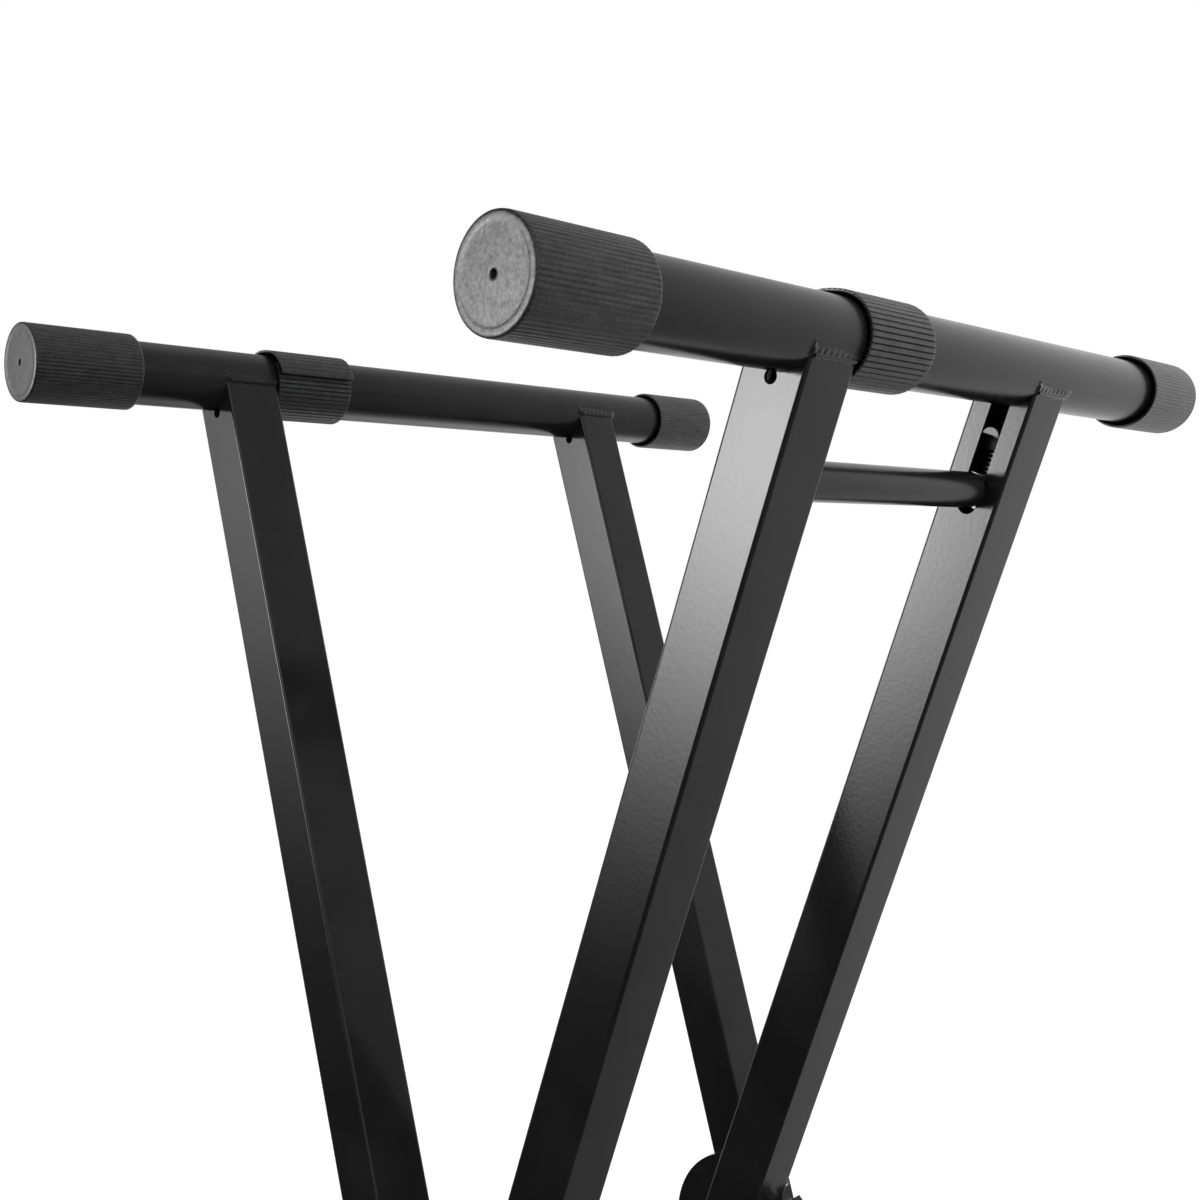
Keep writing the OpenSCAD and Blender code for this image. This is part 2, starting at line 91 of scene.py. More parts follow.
# Materials
def powderCoat(name, pitch, rise, roughness, grainHeightMm):
    # polyester powder coat on steel tube, sprayed and baked: black, a mirror close by that orange peel
    # and a fine grain soften with distance; the grain is drawn coarser than it is, so that it shows
    look = {"peelMm": 2.2, "peelHeightMm": 0.025, "grainMm": 0.5, "cloudMm": 28.57, "ior": 1.55}
    material, tree = newMaterial(name)
    place = addNode(tree, "ShaderNodeTexCoord").outputs["Object"]
    peel = addNode(tree, "ShaderNodeTexNoise",
                   {"Vector": place, "Scale": 1 / (look["peelMm"] * mm), "Detail": 1.0, "Roughness": 0.4})
    grain = addNode(tree, "ShaderNodeTexNoise",
                    {"Vector": place, "Scale": 1 / (look["grainMm"] * mm), "Detail": 2.0, "Roughness": 0.5})
    cloud = addNode(tree, "ShaderNodeTexNoise",
                    {"Vector": place, "Scale": 1 / (look["cloudMm"] * mm), "Detail": 3.0})
    tint = addNode(tree, "ShaderNodeValToRGB", {"Fac": cloud.outputs["Fac"]}, ((0.35, pitch), (0.7, rise)))
    gloss = addNode(tree, "ShaderNodeMapRange",
                    {"Value": cloud.outputs["Fac"], "From Min": 0.3, "From Max": 0.7,
                     "To Min": roughness[0], "To Max": roughness[1]})
    peelBump = addNode(tree, "ShaderNodeBump",
                       {"Height": peel.outputs["Fac"], "Strength": 1.0,
                        "Distance": look["peelHeightMm"] * mm})
    bump = addNode(tree, "ShaderNodeBump",
                   {"Height": grain.outputs["Fac"], "Strength": 1.0, "Distance": grainHeightMm * mm,
                    "Normal": peelBump.outputs["Normal"]})
    coat = addNode(tree, "ShaderNodeBsdfPrincipled",
                   {"Base Color": tint.outputs["Color"], "Roughness": gloss.outputs["Result"],
                    "IOR": look["ior"], "Normal": bump.outputs["Normal"]})
    addNode(tree, "ShaderNodeOutputMaterial", {"Surface": coat.outputs["BSDF"]})
    return material


def mouldedRubber(name, deep, high, roughness, streaks):
    # thermoplastic rubber, injection moulded in a spark-eroded tool: an evenly grained skin, drawn
    # coarser than it is so that it shows, with a grey bloom in clouds, rubbed to a low sheen in streaks
    # along the mould's draw
    look = {"speckMm": 0.8, "cloudMm": 6.0, "streakMm": 1.6, "streakLongMm": 14.0,
            "grainHeightMm": 0.035, "ior": 1.62, "sheen": (0.5, 1.08),
            # how much the specks count beside the clouds, and where their sum turns from deep to high
            "speckShare": 2.4, "bloom": (1.35, 2.05),
            # the sum at which the sheen begins and is full, each with what a whole streak adds to it
            "sheenBegins": (1.3, 0.35), "sheenFull": (2.1, 0.65)}
    material, tree = newMaterial(name)
    place = addNode(tree, "ShaderNodeTexCoord").outputs["Object"]
    speck = addNode(tree, "ShaderNodeTexNoise",
                    {"Vector": place, "Scale": 1 / (look["speckMm"] * mm), "Detail": 2.0, "Roughness": 0.6})
    cloud = addNode(tree, "ShaderNodeTexNoise",
                    {"Vector": place, "Scale": 1 / (look["cloudMm"] * mm), "Detail": 4.0, "Roughness": 0.6})
    drawn = addNode(tree, "ShaderNodeMapping",
                    {"Vector": place, "Scale": (1.0, look["streakMm"] / look["streakLongMm"], 1.0)})
    streak = addNode(tree, "ShaderNodeTexNoise",
                     {"Vector": drawn.outputs["Vector"], "Scale": 1 / (look["streakMm"] * mm),
                      "Detail": 3.0})
    mixed = addNode(tree, "ShaderNodeMath",
                    {0: speck.outputs["Fac"], 1: look["speckShare"], 2: cloud.outputs["Fac"]},
                    operation="MULTIPLY_ADD")
    bloom = addNode(tree, "ShaderNodeMapRange",
                    {"Value": mixed.outputs["Value"], "From Min": look["bloom"][0],
                     "From Max": look["bloom"][1]})
    tint = addNode(tree, "ShaderNodeValToRGB", {"Fac": bloom.outputs["Result"]}, ((0.0, deep), (1.0, high)))
    rubbed = addNode(tree, "ShaderNodeMath",
                     {0: streak.outputs["Fac"], 1: streaks, 2: mixed.outputs["Value"]},
                     operation="MULTIPLY_ADD")
    begins, full = (least + streaks * share for least, share in (look["sheenBegins"], look["sheenFull"]))
    shine = addNode(tree, "ShaderNodeMapRange",
                    {"Value": rubbed.outputs["Value"], "From Min": begins, "From Max": full,
                     "To Min": look["sheen"][0], "To Max": look["sheen"][1]})
    bump = addNode(tree, "ShaderNodeBump",
                   {"Height": speck.outputs["Fac"], "Strength": 1.0,
                    "Distance": look["grainHeightMm"] * mm})
    skin = addNode(tree, "ShaderNodeBsdfPrincipled",
                   {"Base Color": tint.outputs["Color"], "Roughness": roughness, "IOR": look["ior"],
                    "Specular IOR Level": shine.outputs["Result"], "Normal": bump.outputs["Normal"]})
    addNode(tree, "ShaderNodeOutputMaterial", {"Surface": skin.outputs["BSDF"]})
    return material


def mouldedNylon(name, deep, high, roughness):
    # glass-filled nylon, injection moulded: hard, faintly mottled, low sheen
    look = {"mottleMm": 0.7, "mottleHeightMm": 0.02, "ior": 1.53}
    material, tree = newMaterial(name)
    place = addNode(tree, "ShaderNodeTexCoord").outputs["Object"]
    mottle = addNode(tree, "ShaderNodeTexNoise",
                     {"Vector": place, "Scale": 1 / (look["mottleMm"] * mm), "Detail": 4.0,
                      "Roughness": 0.6})
    tint = addNode(tree, "ShaderNodeValToRGB", {"Fac": mottle.outputs["Fac"]}, ((0.35, deep), (0.7, high)))
    bump = addNode(tree, "ShaderNodeBump",
                   {"Height": mottle.outputs["Fac"], "Strength": 0.5,
                    "Distance": look["mottleHeightMm"] * mm})
    skin = addNode(tree, "ShaderNodeBsdfPrincipled",
                   {"Base Color": tint.outputs["Color"], "Roughness": roughness, "IOR": look["ior"],
                    "Normal": bump.outputs["Normal"]})
    addNode(tree, "ShaderNodeOutputMaterial", {"Surface": skin.outputs["BSDF"]})
    return material


def platedSteel(name, dull, bright, roughness, cloudMm):
    # steel, cold formed, and zinc plated or left bright: a metal whose colour and gloss vary in cloudy
    # patches, over slight hollows
    look = {"hollowMm": 0.01}
    material, tree = newMaterial(name)
    place = addNode(tree, "ShaderNodeTexCoord").outputs["Object"]
    cloud = addNode(tree, "ShaderNodeTexNoise",
                    {"Vector": place, "Scale": 1 / (cloudMm * mm), "Detail": 4.0, "Roughness": 0.6})
    tint = addNode(tree, "ShaderNodeValToRGB", {"Fac": cloud.outputs["Fac"]}, ((0.3, dull), (0.7, bright)))
    gloss = addNode(tree, "ShaderNodeMapRange",
                    {"Value": cloud.outputs["Fac"], "From Min": 0.3, "From Max": 0.7,
                     "To Min": roughness[0], "To Max": roughness[1]})
    bump = addNode(tree, "ShaderNodeBump",
                   {"Height": cloud.outputs["Fac"], "Strength": 0.4, "Distance": look["hollowMm"] * mm})
    metal = addNode(tree, "ShaderNodeBsdfPrincipled",
                    {"Base Color": tint.outputs["Color"], "Metallic": 1.0,
                     "Roughness": gloss.outputs["Result"], "Normal": bump.outputs["Normal"]})
    addNode(tree, "ShaderNodeOutputMaterial", {"Surface": metal.outputs["BSDF"]})
    return material


# the finish of each slot: its name, darker and lighter colour, roughness, and a last number that the
# function names
finishes = {
    "black_powder_coat": powderCoat("satinPowderCoat", "111112", "161617", (0.1, 0.12), 0.018),
    "cap_rubber": mouldedRubber("mouldedCapRubber", "070808", "141516", 0.38, 2.4),
    "sleeve_rubber": mouldedRubber("mouldedSleeveRubber", "070808", "131415", 0.38, 0.4),
    "black_block": mouldedNylon("blackMouldedNylon", "0a0a0b", "111112", 0.6),
    "zinc_plate": platedSteel("zincPlatedSteel", "a9aaad", "c9cacd", (0.28, 0.4), 4.0),
    "spring_steel": platedSteel("brightSpringSteel", "8f9194", "b2b4b6", (0.25, 0.35), 1.5),
    "nylon": mouldedNylon("whiteMouldedNylon", "d4d2cb", "e4e2dc", 0.45),
}
# round tubes take the powder a little thinner, and are duller than the flat faces
dullCoat = powderCoat("dullPowderCoat", "0e0e0f", "141415", (0.23, 0.28), 0.01)
print("materials made:", len(finishes) + 1)

slotOf = {part["node"]: part["material_slot"] for part in frame["record"]["subparts"]}
for name, cadNode in frame["nodes"].items():
    for place in cadNode.material_slots:
        place.material = dullCoat if "_tube_" in name or "_bar" in name else finishes[slotOf[name]]
print("CAD nodes dressed:", len(slotOf))

# Where things are: both frames lean about the pivots, and each leg is upright in its own frame
stand = {"leanDeg": 18.8, "pivotMm": 494.325, "upperReachMm": 528.0, "lowerReachMm": 500.0,
         "tubeMm": 32.0, "legMm": 30.0, "innerLegMm": 88.0, "outerLegMm": 130.0}


def leaningFrame(letter):
    # from a leg's own upright frame, pivot at its origin, in millimetres, to the stand in metres
    lean = math.radians(stand["leanDeg"]) * (1 if letter == "a" else -1)
    upright = Matrix.Translation((0, 0, stand["pivotMm"]))
    return Matrix.Scale(mm, 4) @ upright @ Matrix.Rotation(lean, 4, "Y")


def smooth(share):
    share = min(max(share, 0.0), 1.0)
    return share * share * (3 - 2 * share)


def meshPiece(name, place, points, faces, slotName, creaseDeg=180):
    # a closed mesh from points in millimetres, set in place, with its finish and its slot
    mesh = bpy.data.meshes.new(name)
    mesh.from_pydata([tuple(place @ Vector(point)) for point in points], [], faces)
    work = bmesh.new()
    work.from_mesh(mesh)
    bmesh.ops.recalc_face_normals(work, faces=work.faces)
    work.to_mesh(mesh)
    work.free()
    mesh.shade_smooth()
    if creaseDeg < 180:
        mesh.set_sharp_from_angle(angle=math.radians(creaseDeg))
    mesh.materials.append(finishes[slotName])
    piece = bpy.data.objects.new(name, mesh)
    bpy.context.scene.collection.objects.link(piece)
    return piece


def joinRings(count, rings, closed):
    # quads between rings of equal count; closed joins the last ring to the first
    faces = []
    for i in range(rings if closed else rings - 1):
        here, there = i * count, (i + 1) % rings * count
        faces += [(here + k, here + (k + 1) % count, there + (k + 1) % count, there + k)
                  for k in range(count)]
    return faces


def endFaces(count, rings):
    # one flat face over the first ring and one over the last
    return [tuple(range(count)), tuple((rings - 1) * count + k for k in range(count))]


# Ribbed end caps
armCap = {"lengthMm": 54.0, "outerMm": 38.0, "ribs": 64, "ribMm": 0.3, "spanMm": 492.0}
footCap = {"lengthMm": 56.0, "outerMm": 42.0, "ribs": 48, "ribMm": 0.4, "spanMm": 500.0}
capDetail = {"stepsPerRib": 9, "boreMm": 32.3, "endMm": 3.6, "rimMm": 0.6, "rimWideMm": 1.5,
             "neckMm": 0.12, "rimSteps": 6, "grooveSharpness": 2.4, "pinHoleMm": 2.4,
             "pinHoleDeepMm": 2.3, "tipMm": 0.4,
             # the face: how deep its dish is, how far in from the outside the dish's wall lies, and the
             # low mound in it, drawn in rings from this radius on
             "dishMm": 0.16, "dishInMm": 3.8, "dishOutMm": 2.4, "dishSteps": 5, "moundMm": 0.15,
             "moundFromMm": 2.5,
             # the pin hole's blind end: height below its depth, and share of its radius
             "holeEnd": ((0.35, 0.25), (0.0, 0.6), (0.1, 0.9), (0.4, 1.0)),
             # its mouth: height below the dish, and how far it widens
             "holeMouth": ((0.35, 0.0), (0.08, 0.12)), "holeRoundMm": 0.5,
             # where the ribs start and end: height from the rim or the mouth, how far in, share of them
             "ribStart": ((0.1, 0.26, 0.0), (0.22, 0.26, 0.2), (0.34, 0.07, 0.7), (0.55, 0.02, 1.0),
                          (1.0, 0.0, 1.0)),
             "ribEnd": ((1.3, 0.0, 1.0), (0.7, 0.03, 0.6), (0.3, 0.12, 0.15), (0.08, 0.3, 0.0),
                        (0.0, 0.5, 0.0)),
             # the thin lip that the flared mouth leaves: height from it, and how far in from the outside
             "lip": ((0.02, 1.0), (0.3, 1.25)),
             # the flare's foot: height from the mouth, and how far it opens the bore
             "flare": ((2.2, 0.3), (2.8, 0.0)), "boreEaseMm": 0.6}


def capProfile(shape, detail):
    # height from the face, radius and share of the ribs, from the pin hole out, round and in to the
    # bore's end
    outer, bore = shape["outerMm"] / 2, detail["boreMm"] / 2
    hole, deep, dish = detail["pinHoleMm"] / 2, detail["pinHoleDeepMm"], detail["dishMm"]
    rim, wide, length = detail["rimMm"], detail["rimWideMm"], shape["lengthMm"]
    neck, end, eased = outer - detail["neckMm"], detail["endMm"], detail["boreEaseMm"]
    dishIn, dishOut = outer - detail["dishInMm"], outer - detail["dishOutMm"]
    steps, begin = detail["dishSteps"], detail["moundFromMm"]
    line = [(deep - below, hole * share) for below, share in detail["holeEnd"]]
    line += [(dish + below, hole + wider) for below, wider in detail["holeMouth"]]
    radii = [hole + detail["holeRoundMm"]]
    radii += [begin + k * (dishIn - begin) / steps for k in range(steps + 1)]
    line += [(dish - detail["moundMm"] * (1 - (radius / dishIn) ** 2), radius) for radius in radii]
    for k in range(1, steps + 1):
        share = k / steps
        line.append((dish * (1 - smooth(share)), dishIn + share * (dishOut - dishIn)))
    for k in range(detail["rimSteps"] + 1):
        turn = math.pi / 2 * k / detail["rimSteps"]
        line.append((rim * (1 - math.cos(turn)), neck - wide + wide * math.sin(turn)))
    line = [(z, r, 0.0) for z, r in line]
    line += [(rim + above, outer - inset, share) for above, inset, share in detail["ribStart"]]
    line.append((length / 2, outer, 1.0))
    line += [(length - below, outer - inset, share) for below, inset, share in detail["ribEnd"]]
    line += [(length - below, outer - inset, 0.0) for below, inset in detail["lip"]]
    line += [(length - below, bore + wider, 0.0) for below, wider in detail["flare"]]
    line += [(end + eased, bore, 0.0), (end, bore - eased, 0.0)]
    return line


def ribbedCap(name, shape, detail, axisX, axisZ, far):
    count = shape["ribs"] * detail["stepsPerRib"]
    side = 1 if far else -1
    grooves = []
    for k in range(count):
        wave = 0.5 + 0.5 * math.cos(2 * math.pi * k / detail["stepsPerRib"])
        grooves.append((1 - wave) ** detail["grooveSharpness"] * shape["ribMm"])
    profile = capProfile(shape, detail)
    points = []
    for height, radius, share in profile:
        y = side * (shape["spanMm"] / 2 - height)
        for k in range(count):
            turn, reach = 2 * math.pi * k / count, radius - grooves[k] * share
            points.append((axisX + reach * math.cos(turn), y, axisZ + reach * math.sin(turn)))
    faces = joinRings(count, len(profile), False)
    # a fan closes the pin hole and another the bore
    tip = detail["pinHoleDeepMm"] - detail["tipMm"]
    for ring, height in ((0, tip), (len(profile) - 1, detail["endMm"])):
        middle = len(points)
        points.append((axisX, side * (shape["spanMm"] / 2 - height), axisZ))
        faces += [(ring * count + k, ring * count + (k + 1) % count, middle) for k in range(count)]
    return meshPiece(name, Matrix.Scale(mm, 4), points, faces, "cap_rubber")


for letter in ("a", "b"):
    for end in ("near", "far"):
        for kind, shape in (("arm", armCap), ("foot", footCap)):
            low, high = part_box(kind + "_cap_" + letter + "_" + end)
            piece = ribbedCap(kind + "CapRibbed_" + letter + "_" + end, shape, capDetail,
                              (low[0] + high[0]) / 2 / mm, (low[2] + high[2]) / 2 / mm, end == "far")
            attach(piece, "frame_" + letter)
            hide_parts(kind + "_cap_" + letter + "_" + end)
print("caps moulded")

# Split sleeves
sleeveShape = {"lengthMm": 46.0, "wallMm": 2.5, "gapMm": 0.15, "ribs": 48, "grooveMm": 0.65,
               "grooveShare": 0.2, "hollowMm": 0.09, "lapDeg": 24.0, "riseDeg": 50.0, "liftMm": 0.55,
               "liftDeg": 26.0, "lapWorn": 0.55, "edgeMm": 0.25, "cutEase": 0.6, "flareMm": 1.3,
               "lengthSteps": 6,
               # towards an end: place, how far the outside draws in, both as shares of the edge, and
               # how far the bore opens, as a share of the flare
               "edgeLine": ((0.0, 1.0, 1.0), (0.12, 0.45, 0.98), (0.5, 0.12, 0.93), (1.0, 0.0, 0.86)),
               # the rest of the flare: place, and share of it
               "flareLineMm": ((1.5, 0.4), (3.0, 0.0)),
               # where a rib's outline is drawn, as shares of its pitch from the middle of a groove
               "ribStations": (0.0, 0.06, 0.12, 0.17, 0.22, 0.3, 0.4, 0.5, 0.6, 0.7, 0.78, 0.83, 0.88,
                               0.94)}
sleevePlaces = {"a": {"startMm": -72.7, "lapAtDeg": 131.2, "flip": 1},
                "b": {"startMm": -114.7, "lapAtDeg": -37.5, "flip": -1}}


def sleeveSection(shape):
    # angle from the under edge, inner and outer radius
    pitch = 360 / shape["ribs"]
    turn = 360 + shape["lapDeg"]
    section = []
    for rib in range(int(turn / pitch) + 1):
        for share in shape["ribStations"]:
            angle = (rib + share) * pitch
            if angle > turn:
                break
            lapping = smooth((angle - 360 + shape["riseDeg"]) / shape["riseDeg"])
            rise = (shape["wallMm"] + shape["gapMm"]) * lapping
            rise += shape["liftMm"] * smooth((angle - turn + shape["liftDeg"]) / shape["liftDeg"])
            inner = stand["tubeMm"] / 2 + shape["gapMm"] + rise
            near = min(share, 1 - share) / shape["grooveShare"]
            groove = shape["grooveMm"] * (0.5 + 0.5 * math.cos(math.pi * min(near, 1.0)))
            # each crest is a little hollow between its two edges, and the ribs fade out on the lap
            crest = smooth((near - 1) * shape["grooveShare"] / (0.5 - shape["grooveShare"]))
            worn = 1 - shape["lapWorn"] * lapping
            depth = (groove + shape["hollowMm"] * crest) * worn
            section.append((angle, inner, inner + shape["wallMm"] - depth))
    return section


def splitSleeve(letter, shape, at):
    low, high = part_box("arm_tube_" + letter)
    axisX, axisZ = (low[0] + high[0]) / 2 / mm, (low[2] + high[2]) / 2 / mm
    section = sleeveSection(shape)
    edge, turn, length = shape["edgeMm"], 360 + shape["lapDeg"], shape["lengthMm"]
    # along the sleeve: place, how far the outside draws in there, and how far the bore opens
    mouth = [(place * edge, draw * edge, flare) for place, draw, flare in shape["edgeLine"]]
    mouth += [(place, 0.0, flare) for place, flare in shape["flareLineMm"]]
    stations = mouth + [(length * k / shape["lengthSteps"], 0.0, 0.0)
                        for k in range(1, shape["lengthSteps"])]
    stations += [(length - place, draw, flare) for place, draw, flare in reversed(mouth)]
    points = []
    for place, draw, flare in stations:
        ring = []
        for angle, inner, outer in section:
            # the two cut edges along the sleeve are eased as well
            fromCut = math.radians(min(angle, turn - angle)) * inner
            ease = edge * (1 - smooth(fromCut / edge)) * shape["cutEase"]
            ring.append((angle, outer - draw - ease))
        for angle, inner, outer in reversed(section):
            ring.append((angle, inner + flare * shape["flareMm"]))
        for angle, reach in ring:
            around = math.radians(at["lapAtDeg"] + angle)
            points.append((axisX + reach * math.cos(around), at["startMm"] + place,
                           axisZ + at["flip"] * reach * math.sin(around)))
    count = 2 * len(section)
    faces = joinRings(count, len(stations), False)
    for base in (0, (len(stations) - 1) * count):
        faces += [(base + k, base + k + 1, base + count - 2 - k, base + count - 1 - k)
                  for k in range(len(section) - 1)]
    return meshPiece("sleeveSplit_" + letter, Matrix.Scale(mm, 4), points, faces, "sleeve_rubber", 50)


for letter, at in sleevePlaces.items():
    piece = splitSleeve(letter, sleeveShape, at)
    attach(piece, "frame_" + letter)
    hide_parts("sleeve_" + letter)
print("sleeves wrapped")

# Weld beads: overlapping puddles along both side faces of each leg, where it meets the round tube
weldShape = {"pitchMm": 3.8, "halfWideMm": 2.7, "proudMm": 0.7, "rippleMm": 0.2, "bowPerMm": 0.2,
             "fadeMm": 3.0, "feetMm": 0.04, "stepMm": 0.35, "sunkMm": 0.6, "overrunMm": 2.4,
             "backMm": 1.4, "seed": 11, "coins": 9, "coinHeights": (0.55, 1.0),
             # how sharply the ridge and each puddle's leading edge rise
             "ridgePower": 1.6, "coinPower": 1.7,
             # how the bead sways up and down, and how it sets off higher
             "swayMm": 0.35, "swayLongMm": 4.3, "swayShift": 9, "setOffMm": 1.2, "setOffAtMm": -1,
             "setOffLongMm": 2.2,
             # the sheet that carries it, from its lower edge, and how far it keeps off the leg's corners
             "sheetMm": 9.0, "sheetFromMm": -2.8, "cornerMm": 0.4,
             # where the torch starts, a spatter ball on the tube and a blob below it: place along,
             # height, half width, how proud
             "startMm": ((-0.9, 4.3, 0.6, 0.6), (-0.5, 3.1, 1.2, 0.25))}


def weldRise(shape, heights, along, up):
    # how far the bead stands out there: a low ridge over the seam, scaled like a fan of coins
    phase = along / shape["swayLongMm"] + heights[0] * shape["swayShift"]
    sway = shape["swayMm"] + shape["swayMm"] * math.sin(phase)
    sway += shape["setOffMm"] * math.exp((shape["setOffAtMm"] - along) / shape["setOffLongMm"])
    across = (up - sway) / shape["halfWideMm"]
    cover = max(1 - across * across, 0.0)
    ends = smooth((along + shape["overrunMm"]) / shape["fadeMm"])
    ends *= smooth((stand["legMm"] + shape["overrunMm"] - along) / shape["fadeMm"])
    bow = shape["bowPerMm"] * (up - sway) ** 2
    place = max((along + shape["overrunMm"] - bow) / shape["pitchMm"], 0.0)
    coin = heights[int(place) % len(heights)] * math.sin(math.pi * (place % 1) ** shape["coinPower"])
    ridge = shape["proudMm"] * cover ** shape["ridgePower"] + shape["rippleMm"] * coin * cover
    return ridge * ends - shape["feetMm"] if cover else -shape["sunkMm"]


def weldBead(shape, heights, side, end, legY):
    # a sheet over the bead, closed by its back inside the metal; it starts at the leg's near corner
    half, tube, leg = stand["legMm"] / 2, stand["tubeMm"] / 2, stand["legMm"]
    corner = math.sqrt(tube * tube - half * half)
    tubeZ = stand["upperReachMm"] if end > 0 else -stand["lowerReachMm"]
    columns = int((leg + 2 * shape["overrunMm"]) / shape["stepMm"]) + 1
    rows = int(shape["sheetMm"] / shape["stepMm"])
    points = []
    for i in range(columns):
        along = -shape["overrunMm"] + i * shape["stepMm"]
        for j in range(rows):
            up = shape["sheetFromMm"] + j * shape["stepMm"]
            wall = math.sqrt(max(tube * tube - (corner - up) ** 2, 0)) - half
            if shape["cornerMm"] < along < leg - shape["cornerMm"]:
                wall = max(wall, 0.0)
            rise = weldRise(shape, heights, along, up)
            for middle, height, halfWide, proud in shape["startMm"]:
                away = ((along - middle) ** 2 + (up - height) ** 2) / halfWide ** 2
                rise = max(rise, proud * (1 - away))
            points.append((side * (half + wall + max(rise, -shape["sunkMm"])), legY - (half - along),
                           tubeZ - end * (corner - up)))
    border = [j for j in range(rows)] + [i * rows + rows - 1 for i in range(1, columns)]
    border += [(columns - 1) * rows + j for j in range(rows - 2, -1, -1)]
    border += [i * rows for i in range(columns - 2, 0, -1)]
    faces = [(i * rows + j, i * rows + j + 1, (i + 1) * rows + j + 1, (i + 1) * rows + j)
             for i in range(columns - 1) for j in range(rows - 1)]
    back = len(points)
    points += [(side * (half - shape["backMm"]), points[k][1], points[k][2]) for k in border]
    count = len(border)
    faces += [(border[k], border[(k + 1) % count], back + (k + 1) % count, back + k)
              for k in range(count)]
    faces.append(tuple(back + k for k in range(count)))
    return points, faces


def weldsOfFrame(letter, legMm):
    dice = random.Random(weldShape["seed"] + ord(letter))
    points, faces = [], []
    for end in (1, -1):
        for legY in (-legMm, legMm):
            for side in (1, -1):
                heights = [dice.uniform(*weldShape["coinHeights"]) for k in range(weldShape["coins"])]
                bead, sheet = weldBead(weldShape, heights, side, end, legY)
                faces += [tuple(k + len(points) for k in face) for face in sheet]
                points += bead
    return meshPiece("weldBeads_" + letter, leaningFrame(letter), points, faces, "black_powder_coat")


for letter, legMm in (("a", stand["innerLegMm"]), ("b", stand["outerLegMm"])):
    welds = weldsOfFrame(letter, legMm)
    welds.data.materials[0] = dullCoat
    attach(welds, "frame_" + letter)
print("beads laid")

# Springs: cold-wound wire with closed end coils
linkSpring = {"wireMm": 1.2, "outerMm": 14.0, "lowMm": 478.2, "highMm": 490.0, "turns": 5.5}
returnSpring = {"wireMm": 1.2, "outerMm": 13.0, "lowMm": 69.5, "highMm": 93.5, "turns": 9.5}
# sides of the wire, steps in a turn, and the rise of an end turn as a share of the wire
coilDetail = {"sides": 10, "perTurn": 28, "endRise": 1.15}


def woundSpring(name, shape, legY):
    wire, low, high, turns = shape["wireMm"], shape["lowMm"], shape["highMm"], shape["turns"]
    middleR, sides = (shape["outerMm"] - wire) / 2, coilDetail["sides"]
    # the first and last turn lie close, the others share the rest of the rise
    closed = min(coilDetail["endRise"] * wire, (high - low - wire) / turns)
    spread = (high - low - wire - 2 * closed) / (turns - 2)
    centres = []
    for k in range(int(turns * coilDetail["perTurn"]) + 1):
        turn = k / coilDetail["perTurn"]
        inside = min(max(turn - 1, 0), turns - 2)
        rise = closed * (min(turn, 1) + max(turn - turns + 1, 0)) + spread * inside
        centres.append((turn * 2 * math.pi, low + wire / 2 + rise))
    points = []
    for angle, height in centres:
        for k in range(sides):
            about = 2 * math.pi * k / sides
            reach = middleR + wire / 2 * math.cos(about)
            points.append((reach * math.cos(angle), legY + reach * math.sin(angle),
                           height + wire / 2 * math.sin(about)))
    faces = joinRings(sides, len(centres), False) + endFaces(sides, len(centres))
    return meshPiece(name, leaningFrame("a"), points, faces, "spring_steel", 50)


for end, side in (("near", -1), ("far", 1)):
    legY = side * stand["innerLegMm"]
    link = woundSpring("linkSpringWound_" + end, linkSpring, legY)
    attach(link, "release")
    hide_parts("link_spring_" + end)
    back = woundSpring("returnSpringWound_" + end, returnSpring, legY)
    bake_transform(back)
    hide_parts("return_spring_" + end)
print("springs wound")

# Head blocks in the inner legs: a moulded body around the rod, and a coated half-moon tab in the slot
headBlock = {"bodyMm": 25.2, "recessMm": 4.0, "lowMm": 490.0, "highMm": 496.5, "boreMm": 5.4,
             "chamferMm": 0.7, "stepsPerSide": 8, "tabR": 4.3, "tabSquash": 0.9, "tabSteps": 24,
             "tabLowMm": 497.2, "tabFrontMm": 14.95, "tabBackMm": 7.25, "tabEaseMm": 0.3,
             "footMm": 3.0, "footSunkMm": 1}
# a domed lock nut ends the rod above its plain nut: radius and height along its outline
domeNut = {"steps": 24,
           "lineMm": ((2.2, 500.4), (3.9, 500.45), (4.1, 500.8), (4.1, 503.2), (3.8, 503.6),
                      (2.9, 503.9), (2.6, 504.7), (1.6, 505.1))}


def headBody(shape):
    # rings about the bore, from its foot out, up and back in, with points at the same angles in each
    half, cut, bore = shape["bodyMm"] / 2, shape["chamferMm"], shape["boreMm"] / 2
    low, high, steps = shape["lowMm"], shape["highMm"], shape["stepsPerSide"]
    outline = []
    for k in range(4 * steps):
        side, share = divmod(k, steps)
        place = 2 * share / steps - 1
        outline.append(((place, -1), (1, place), (-place, 1), (-1, -place))[side])
    # height, and how far in from the outline, or None at the bore
    levels = ((low, None), (low, cut), (low + cut, 0), (high - cut, 0), (high, cut), (high, None))
    points = []
    for height, inset in levels:
        for x, y in outline:
            front = half - shape["recessMm"] if y < 0 else half
            x, y = x * half, y * front
            share = bore / math.hypot(x, y) if inset is None else 1 - inset / half
            points.append((x * share, y * share, height))
    return points, joinRings(4 * steps, len(levels), True)


